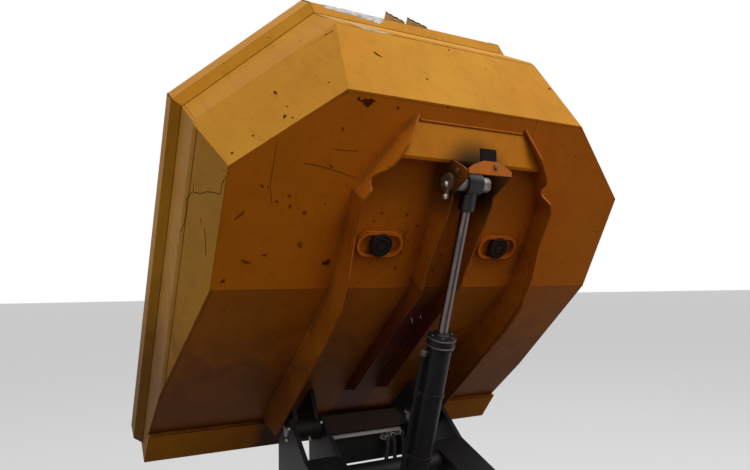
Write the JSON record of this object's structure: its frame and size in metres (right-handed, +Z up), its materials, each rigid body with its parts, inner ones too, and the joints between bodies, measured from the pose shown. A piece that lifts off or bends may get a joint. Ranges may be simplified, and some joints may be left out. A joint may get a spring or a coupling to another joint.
{
  "type": "articulated site dumper",
  "caption": "Centre-pivot site dumper with front tipping skip shown raised on its ram, four wheels, seat, folding roll bar and rear engine",
  "frame": {"origin": "on the ground under the middle of the machine's box at rest", "axes": "X forward to the skip, Y left, Z up"},
  "size_m": [4.155, 1.84, 2.745],
  "materials": {
    "skip_paint": "worn yellow paint",
    "body_paint": "yellow paint",
    "frame_paint": "anthracite paint",
    "rim_paint": "grey paint",
    "bare_steel": "worn steel",
    "chrome_rod": "hard chrome",
    "black_rubber": "rubber",
    "tyre_rubber": "tyre rubber",
    "seat_vinyl": "black vinyl",
    "black_plastic": "moulded",
    "engine_iron": "cast"
  },
  "bodies": {
    "rear_chassis": {"rear_frame": "frame_paint", "rear_bumper": "frame_paint", "tow_hitch": "frame_paint", "floor_plate": "frame_paint", "dash_cowl": "body_paint", "steering_column": "frame_paint", "seat_base": "frame_paint", "seat_cushion": "seat_vinyl", "seat_back": "seat_vinyl", "engine": "engine_iron", "engine_side_panels": "body_paint", "mudguard_left": "body_paint", "mudguard_right": "body_paint", "rops_post_left": "frame_paint", "rops_post_right": "frame_paint", "rops_hinge_pins": "bare_steel", "rear_axle": "frame_paint", "steer_ram_pin": "bare_steel", "driver_controls": "black_plastic", "fuel_tank": "frame_paint", "hydraulic_tank": "frame_paint", "lamps": "black_plastic", "exhaust_pipe": "engine_iron"},
    "front_chassis": {"front_frame": "frame_paint", "front_axle": "frame_paint", "front_frame_pins": "bare_steel", "hydraulic_hoses": "black_rubber"},
    "skip": {"skip_shell": "skip_paint", "skip_rim": "skip_paint", "skip_cutting_edge": "bare_steel", "skip_ribs_outer": "skip_paint", "skip_ribs_inner": "skip_paint", "skip_cross_beam": "skip_paint", "skip_buffer_rings": "skip_paint", "skip_buffers": "black_rubber", "skip_hinge_ears": "skip_paint", "ram_head_cap": "skip_paint", "ram_head_flap": "frame_paint", "ram_head_fixings": "bare_steel"},
    "tip_barrel": {"tip_ram_barrel": "frame_paint"},
    "tip_rod": {"tip_ram_rod": "chrome_rod", "ram_eye_pin": "bare_steel"},
    "steer_barrel": {"steer_ram_barrel": "frame_paint"},
    "steer_rod": {"steer_ram_rod": "chrome_rod"},
    "steering_wheel": {"steering_wheel": "black_plastic"},
    "bonnet": {"bonnet": "body_paint"},
    "rops": {"rops_hoop": "frame_paint"},
    "wheel_front_left": {"tyre_front_left": "tyre_rubber", "wheel_front_left": "rim_paint"},
    "wheel_front_right": {"tyre_front_right": "tyre_rubber", "wheel_front_right": "rim_paint"},
    "wheel_rear_left": {"tyre_rear_left": "tyre_rubber", "wheel_rear_left": "rim_paint"},
    "wheel_rear_right": {"tyre_rear_right": "tyre_rubber", "wheel_rear_right": "rim_paint"}
  },
  "joints": [
    {"name": "articulation", "type": "hinge", "parent": "rear_chassis", "child": "front_chassis", "pos_m": [-0.17254, 0, 0.425], "axis": [0, 0, 1], "range_deg": [-30, 30]},
    {"name": "skip_tip", "type": "hinge", "parent": "front_chassis", "child": "skip", "pos_m": [1.60746, 0, 1.061], "axis": [0, -1, 0], "range_deg": [0, 60.8]},
    {"name": "tip_ram_pivot", "type": "hinge", "parent": "front_chassis", "child": "tip_barrel", "pos_m": [1.29746, 0, 0.726], "axis": [0, -1, 0], "range_deg": [0, 63.22]},
    {"name": "tip_rod_slide", "type": "slide", "parent": "tip_barrel", "child": "tip_rod", "axis": [-0.3507, 0, 0.9365], "range_m": [-0.4625, 0]},
    {"name": "steer_ram_pivot", "type": "hinge", "parent": "rear_chassis", "child": "steer_barrel", "pos_m": [-0.58254, 0.135, 0.425], "axis": [0, 0, 1], "range_deg": [-4.56, 4.56]},
    {"name": "steer_rod_slide", "type": "slide", "parent": "steer_barrel", "child": "steer_rod", "axis": [0.9995, 0.0312, 0], "range_m": [-0.0772, 0.0772]},
    {"name": "steering_wheel_turn", "type": "hinge", "parent": "rear_chassis", "child": "steering_wheel", "pos_m": [-0.60629, 0, 1.24751], "axis": [-0.4472, 0, 0.8944], "continuous": true},
    {"name": "bonnet_lift", "type": "hinge", "parent": "rear_chassis", "child": "bonnet", "pos_m": [-1.36954, 0, 1.179], "axis": [0, 1, 0], "range_deg": [0, 65]},
    {"name": "rops_fold", "type": "hinge", "parent": "rear_chassis", "child": "rops", "pos_m": [-1.29254, 0, 1.29], "axis": [0, -1, 0], "range_deg": [0, 110]},
    {"name": "wheel_front_left_roll", "type": "hinge", "parent": "front_chassis", "child": "wheel_front_left", "pos_m": [0.80746, 0.75, 0.43], "axis": [0, 1, 0], "continuous": true},
    {"name": "wheel_front_right_roll", "type": "hinge", "parent": "front_chassis", "child": "wheel_front_right", "pos_m": [0.80746, -0.75, 0.43], "axis": [0, 1, 0], "continuous": true},
    {"name": "wheel_rear_left_roll", "type": "hinge", "parent": "rear_chassis", "child": "wheel_rear_left", "pos_m": [-1.15254, 0.75, 0.43], "axis": [0, 1, 0], "continuous": true},
    {"name": "wheel_rear_right_roll", "type": "hinge", "parent": "rear_chassis", "child": "wheel_rear_right", "pos_m": [-1.15254, -0.75, 0.43], "axis": [0, 1, 0], "continuous": true}
  ],
  "couplings": [
    {"joint": "tip_ram_pivot", "follows": "skip_tip", "ratio": 1.0315},
    {"joint": "tip_rod_slide", "follows": "skip_tip", "m_per_rad": -0.43393},
    {"joint": "steer_ram_pivot", "follows": "articulation", "ratio": 0.14209},
    {"joint": "steer_rod_slide", "follows": "articulation", "m_per_rad": -0.14357}
  ]
}
